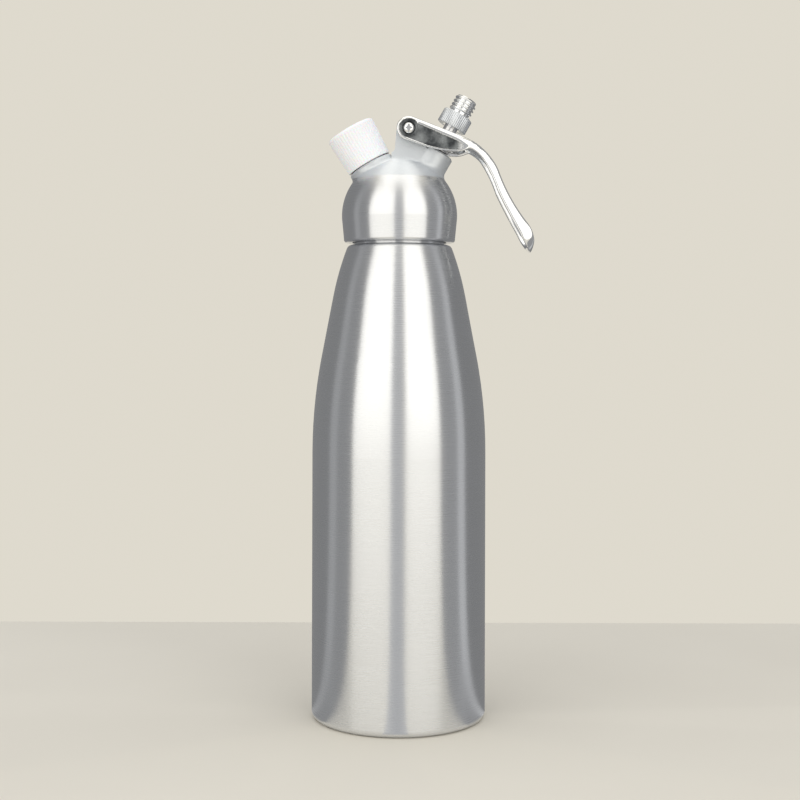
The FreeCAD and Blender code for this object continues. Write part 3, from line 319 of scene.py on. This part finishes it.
# Pieces modelled here.
def new_piece(name, mesh, material, body):
    """An object of the dispenser that moves with a body."""
    data = bpy.data.meshes.new(name)
    mesh.to_mesh(data)
    mesh.free()
    data.materials.append(material)
    piece = bpy.data.objects.new(name, data)
    bpy.context.scene.collection.objects.link(piece)
    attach(piece, body)
    return piece


def lathe(points, segments):
    """Spins a closed profile of (radius, height) points into a closed solid about Z."""
    mesh = bmesh.new()
    ring = [mesh.verts.new((radius, 0, height)) for radius, height in points]
    edges = [mesh.edges.new(pair) for pair in zip(ring, ring[1:] + ring[:1])]
    bmesh.ops.spin(mesh, geom=ring + edges, cent=(0, 0, 0), axis=(0, 0, 1), dvec=(0, 0, 0),
                   angle=math.radians(360), steps=segments, use_merge=True, use_duplicate=False)
    bmesh.ops.remove_doubles(mesh, verts=mesh.verts, dist=1e-7)
    bmesh.ops.recalc_face_normals(mesh, faces=mesh.faces)
    return mesh


def smooth_by_angle(piece, angle=40):
    """Smooth shading that keeps edges sharper than the angle."""
    for face in piece.data.polygons:
        face.use_smooth = True
    piece.data.set_sharp_from_angle(angle=math.radians(angle))


def make_cap():
    """The protective cap: fine ribs all round its slightly flared side."""
    bottom, top = 0.0315, 0.0519
    low, high = 0.01195, 0.01305
    bore, roof, edge = 0.01055, 0.002, 0.0015
    steps = 5
    rounding = [
        (high - edge + edge * math.cos(math.radians(90 * step / steps)),
         top - edge + edge * math.sin(math.radians(90 * step / steps)))
        for step in range(1, steps)
    ]
    points = [(bore, bottom), (low - 0.0003, bottom), (low, bottom + 0.0003),
              (low + 0.00006, bottom + 0.0012), (high - 0.00004, top - edge - 0.0008), (high, top - edge)]
    points += rounding + [(high - edge, top), (0, top), (0, top - roof), (bore - 0.001, top - roof),
                          (bore, top - roof - 0.001)]
    mesh = lathe(points, CAP_RIBS * 6)
    groove = 0.00026
    for vert in mesh.verts:
        radius = math.hypot(vert.co.x, vert.co.y)
        on_side = radius > low - 0.0001 and bottom + 0.001 < vert.co.z < top - edge - 0.0006
        if on_side:
            angle = math.atan2(vert.co.y, vert.co.x)
            wave = (0.5 - 0.5 * math.cos(angle * CAP_RIBS)) ** 2
            share = (radius - groove * wave) / radius
            vert.co.x *= share
            vert.co.y *= share
    bmesh.ops.transform(mesh, matrix=tilted_place(-1), verts=mesh.verts)
    cap = new_piece("cap_ribbed", mesh, white_plastic(), "cap")
    smooth_by_angle(cap, 35)
    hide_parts("protective_cap")


def make_knurled_ring(material):
    """The grip ring with its fine straight knurl."""
    bottom, top = 0.0535, 0.0610
    outer, bore, edge = 0.00805, 0.005, 0.00035
    points = [(bore, bottom), (outer - edge, bottom), (outer, bottom + edge),
              (outer, top - edge), (outer - edge, top), (bore, top)]
    mesh = lathe(points, KNURL_RIBS * 6)
    groove = 0.00028
    for vert in mesh.verts:
        radius = math.hypot(vert.co.x, vert.co.y)
        if radius > outer - 0.0001:
            angle = math.atan2(vert.co.y, vert.co.x)
            wave = 0.5 - 0.5 * math.cos(angle * KNURL_RIBS)
            share = (radius - groove * wave) / radius
            vert.co.x *= share
            vert.co.y *= share
    bmesh.ops.transform(mesh, matrix=tilted_place(1), verts=mesh.verts)
    ring = new_piece("ring_knurled", mesh, material, "stem")
    smooth_by_angle(ring, 35)
    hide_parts("knurled_ring")


def coil_line(mean, wire, turns, bottom, top):
    """The middle line of a spring's wire, whose ends bend square to the seats they stand on."""
    bend = wire * 1.1
    low = bottom + wire + bend
    pitch = (top - wire - bend - low) / turns
    slope = pitch / (2 * math.pi)
    count = int(turns * 40)
    coil = []
    for step in range(count + 1):
        angle = 2 * math.pi * turns * step / count
        coil.append(Vector((mean * math.cos(angle), mean * math.sin(angle), low + slope * angle)))
    ends = []
    for point, angle, side in ((coil[0], 0.0, -1), (coil[-1], 2 * math.pi * turns, 1)):
        way = Vector((-mean * math.sin(angle), mean * math.cos(angle), slope)).normalized() * side
        up = Vector((0, 0, side))
        arc = []
        for step in range(1, 9):
            part = math.radians(90 * step / 8)
            arc.append(point + way * bend * math.sin(part) + up * bend * (1 - math.cos(part)))
        seat = arc[-1].copy()
        seat.z = bottom if side < 0 else top
        ends.append(arc + [seat])
    return ends[0][::-1] + coil + ends[1]


def wind_spring(name, replaced, form, side, material):
    """A spring of one round wire, wound as in the dispenser, standing on a tilted axis."""
    line = coil_line(**form)
    radius = form["wire"] / 2
    mesh = bmesh.new()
    rings = []
    cross = Vector((1, 0, 0))
    for index, point in enumerate(line):
        ahead = line[min(index + 1, len(line) - 1)] - line[max(index - 1, 0)]
        way = ahead.normalized()
        cross = (cross - way * cross.dot(way)).normalized()
        other = way.cross(cross)
        ring = []
        for corner in range(WIRE_SIDES):
            angle = 2 * math.pi * corner / WIRE_SIDES
            outward = cross * math.cos(angle) + other * math.sin(angle)
            ring.append(mesh.verts.new(point + outward * radius))
        rings.append(ring)
    for first, second in zip(rings, rings[1:]):
        for corner in range(WIRE_SIDES):
            after = (corner + 1) % WIRE_SIDES
            mesh.faces.new((first[corner], first[after], second[after], second[corner]))
    mesh.faces.new(rings[0][::-1])
    mesh.faces.new(rings[-1])
    bmesh.ops.recalc_face_normals(mesh, faces=mesh.faces)
    bmesh.ops.transform(mesh, matrix=tilted_place(side), verts=mesh.verts)
    spring = new_piece(name, mesh, material, "head")
    smooth_by_angle(spring, 50)
    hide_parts(replaced)
    return spring


def make_springs(material):
    """The valve's spring and the small one under the ball."""
    spring = wind_spring("valve_spring", "return_spring", VALVE_SPRING, 1, material)
    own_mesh(spring)
    spring = wind_spring("ball_spring", "check_spring", BALL_SPRING, -1, material)
    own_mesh(spring)


def even_copy(name, voxel):
    """A copy of a CAD node's solid as an even closed mesh, so that its edges can be rounded."""
    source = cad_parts[name]
    data = source.data.copy()
    piece = bpy.data.objects.new(name + "_rounded", data)
    bpy.context.scene.collection.objects.link(piece)
    mesh = bmesh.new()
    mesh.from_mesh(data)
    bmesh.ops.remove_doubles(mesh, verts=mesh.verts, dist=1e-6)
    mesh.to_mesh(data)
    mesh.free()
    remesh = piece.modifiers.new("even", "REMESH")
    remesh.mode = "VOXEL"
    remesh.voxel_size = voxel
    bpy.context.view_layer.update()
    even = bpy.data.meshes.new_from_object(piece.evaluated_get(bpy.context.evaluated_depsgraph_get()))
    piece.modifiers.clear()
    piece.data = even
    bpy.data.meshes.remove(data)
    return piece


def distance_to_edge(x, z):
    """How far a point of the lever, seen from the side, is from its outer edge."""
    best = 1.0
    point = Vector((x, z))
    for first, second in zip(LEVER_EDGE, LEVER_EDGE[1:]):
        start, run = Vector(first), Vector(second) - Vector(first)
        share = min(1, max(0, (point - start).dot(run) / run.length_squared))
        best = min(best, (point - start - run * share).length)
    return best


def make_lever():
    """The cast lever with its edges rounded and its sides crowned towards the outer edge. The
    attribute sunk_panel is 1 on the panels and fades out towards the handle; it masks the pebbles and the
    painted shade of the panels."""
    lever = even_copy("lever", LEVER_CUBE)
    mesh = bmesh.new()
    mesh.from_mesh(lever.data)
    sunk = mesh.verts.layers.float.new("sunk_panel")
    inner, outer = 0.0035, 0.0125
    pocket_side, pocket_radius = 0.011, 0.0050
    panel_end, panel_fade = 0.0300, 0.007
    bend_start, bend_length = 0.024, 0.018
    plate_crown, crown_growth = 0.0030, 0.0055
    plate_slope, slope_loss = 0.62, 0.24
    for vert in mesh.verts:
        x = vert.co.x - PIVOT.x
        z = vert.co.z - PIVOT.z
        side = abs(vert.co.y)
        from_pivot = math.hypot(x, z)
        away = distance_to_edge(x, z)
        if abs(side - PANEL_Y) < LEVER_CUBE or (side > pocket_side and from_pivot < pocket_radius):
            vert[sunk] = min(1, max(0, (panel_end - x) / panel_fade))
        grow = min(1, max(0, (x - bend_start) / bend_length))
        grow = grow * grow * (3 - 2 * grow)
        width = plate_crown + crown_growth * grow
        slope = plate_slope - slope_loss * grow
        if side > inner and away < width:
            radius = width / slope
            inward = radius - math.sqrt(radius * radius - (width - away) ** 2)
            share = (side - inner) / (outer - inner)
            vert.co.y -= math.copysign(inward * share * share * (3 - 2 * share), vert.co.y)
    for step in range(LEVER_SMOOTHINGS):
        bmesh.ops.smooth_vert(mesh, verts=mesh.verts, factor=0.5, use_axis_x=True, use_axis_y=True,
                              use_axis_z=True)
    mesh.to_mesh(lever.data)
    mesh.free()
    lever.data.materials.clear()
    lever.data.materials.append(chrome("lever_chrome", panels=True))
    for face in lever.data.polygons:
        face.use_smooth = True
    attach(lever, "lever")
    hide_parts("lever")


def dress_nodes():
    """Materials of the CAD nodes that stay."""
    bottle = brushed_aluminium("bottle_aluminium", (0.83, 0.845, 0.87), 0.27)
    use(bottle.material, "bottle")
    use(head_metal(), "head")
    use(chrome("nozzle_chrome", 0.09), "nozzle")
    use(chrome("screw_chrome", 0.08), "pivot_screws")
    steel = turned_steel("turned_steel")
    use(steel, "valve_bush", "inlet_stud", "piercing_pin", "check_retainer", "pivot_pin", "valve_stem",
        "thrust_collar", "check_ball")
    use(silicone(), "head_gasket", "bush_o_ring", "stud_o_ring", "charger_seal", "valve_seal",
        "stem_o_rings", "nozzle_seal")
    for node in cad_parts.values():
        for face in node.data.polygons:
            face.use_smooth = True


# Light, floor and camera.
def stage_piece(name, mesh, material):
    """A thing of the studio: floor or card."""
    data = bpy.data.meshes.new(name)
    mesh.to_mesh(data)
    mesh.free()
    data.materials.append(material)
    thing = bpy.data.objects.new(name, data)
    bpy.context.scene.collection.objects.link(thing)
    return thing


def make_floor():
    """The pale floor, which ends behind the bottle."""
    mesh = bmesh.new()
    bmesh.ops.create_grid(mesh, x_segments=1, y_segments=1, size=1)
    bmesh.ops.scale(mesh, vec=(3, FLOOR_DEPTH / 2, 1), verts=mesh.verts)
    bmesh.ops.translate(mesh, vec=(0, FLOOR_BACK - FLOOR_DEPTH / 2, 0), verts=mesh.verts)
    surface = Surface("floor_paint")
    grain = surface.noise(3, 4)
    surface.set("Base Color", surface.mix(surface.ramp(grain, 0.3, 0.7, 0, 1),
                                          (0.665, 0.625, 0.54), (0.715, 0.675, 0.585)))
    surface.set("Roughness", 0.8)
    stage_piece("floor", mesh, surface.material)


def make_world():
    """A pale backdrop, seen plainly and in the metal; other light from it is neutral."""
    world = bpy.data.worlds.new("studio")
    world.use_nodes = True
    bpy.context.scene.world = world
    nodes = world.node_tree.nodes
    links = world.node_tree.links
    background = nodes["Background"]
    background.inputs["Color"].default_value = (0.80, 0.81, 0.83, 1)
    seen = nodes.new("ShaderNodeBackground")
    seen.inputs["Color"].default_value = (*BACKDROP, 1)
    path = nodes.new("ShaderNodeLightPath")
    either = nodes.new("ShaderNodeMath")
    either.operation = "ADD"
    any_of = nodes.new("ShaderNodeMath")
    any_of.operation = "ADD"
    any_of.use_clamp = True
    mix = nodes.new("ShaderNodeMixShader")
    links.new(path.outputs["Is Camera Ray"], either.inputs[0])
    links.new(path.outputs["Is Glossy Ray"], either.inputs[1])
    links.new(either.outputs[0], any_of.inputs[0])
    links.new(path.outputs["Is Transmission Ray"], any_of.inputs[1])
    links.new(any_of.outputs[0], mix.inputs[0])
    links.new(background.outputs[0], mix.inputs[1])
    links.new(seen.outputs[0], mix.inputs[2])
    links.new(mix.outputs[0], nodes["World Output"].inputs["Surface"])


def add_card(name, low, high, tone):
    """A grey card round part of the studio, from one azimuth to another, that lies on the floor
    and stands up at its edge. Only the metal sees it."""
    mesh = bmesh.new()
    points = [mesh.verts.new(place) for place in
              ((0, -0.047, 0.0004), (0, -CARD_DISTANCE, 0.0004), (0, -CARD_DISTANCE, 1.9))]
    edges = [mesh.edges.new(pair) for pair in zip(points, points[1:])]
    turn = Matrix.Rotation(math.radians(low), 3, "Z")
    bmesh.ops.rotate(mesh, cent=(0, 0, 0), matrix=turn, verts=mesh.verts)
    bmesh.ops.spin(mesh, geom=points + edges, cent=(0, 0, 0), axis=(0, 0, 1), dvec=(0, 0, 0),
                   angle=math.radians(high - low), steps=24, use_merge=False, use_duplicate=False)
    surface = Surface(name + "_paint")
    surface.set("Base Color", (0, 0, 0))
    surface.set("Specular IOR Level", 0.0)
    surface.set("Emission Color", (tone, tone, tone))
    surface.set("Emission Strength", 1.0)
    surface.material.cycles.emission_sampling = "NONE"
    card = stage_piece(name, mesh, surface.material)
    card.visible_camera = False
    card.visible_diffuse = False
    card.visible_shadow = False


def add_lamp(name, width, height, radiance):
    """A rectangular lamp of an even radiance that only light and reflections show."""
    lamp = bpy.data.lights.new(name, "AREA")
    lamp.shape = "RECTANGLE"
    lamp.size = width
    lamp.size_y = height
    lamp.energy = radiance * width * height * math.pi
    item = bpy.data.objects.new(name, lamp)
    item.visible_camera = False
    bpy.context.scene.collection.objects.link(item)
    return item


def add_softbox(name, azimuth, width, radiance):
    """A lamp beside the camera that faces the bottle."""
    turn = math.radians(azimuth)
    item = add_lamp(name, width, SOFTBOX_TOP - SOFTBOX_BOTTOM, radiance)
    item.location = (math.sin(turn) * SOFTBOX_DISTANCE, -math.cos(turn) * SOFTBOX_DISTANCE,
                     (SOFTBOX_BOTTOM + SOFTBOX_TOP) / 2)
    item.rotation_euler = (math.radians(90), 0, turn)


def add_top_softbox():
    """A square lamp above the bottle, a little towards the camera."""
    item = add_lamp("top_softbox", TOP_SOFTBOX_WIDTH, TOP_SOFTBOX_WIDTH, TOP_SOFTBOX_RADIANCE)
    item.location = (0, -0.1, TOP_SOFTBOX_HEIGHT)


def make_camera():
    """The camera at the photograph's place."""
    data = bpy.data.cameras.new("photo_camera")
    data.lens = LENS
    data.sensor_width = 36
    data.shift_y = HORIZON_SHIFT
    data.clip_start = 0.01
    camera = bpy.data.objects.new("photo_camera", data)
    camera.location = (CAMERA_SIDE, -CAMERA_DISTANCE, CAMERA_HEIGHT)
    camera.rotation_euler = (math.radians(90), math.radians(CAMERA_ROLL), 0)
    bpy.context.scene.collection.objects.link(camera)
    bpy.context.scene.camera = camera


make_camera()
dress_nodes()
make_cap()
make_knurled_ring(turned_steel("ring_aluminium", (0.78, 0.81, 0.85), 0.34))
make_springs(turned_steel("spring_steel", rough=0.2))
make_lever()
make_floor()
make_world()
for card in CARDS:
    add_card(*card)
for softbox in SOFTBOXES:
    add_softbox(*softbox)
add_top_softbox()
bpy.context.scene.view_settings.view_transform = "Standard"

bpy.context.view_layer.update()
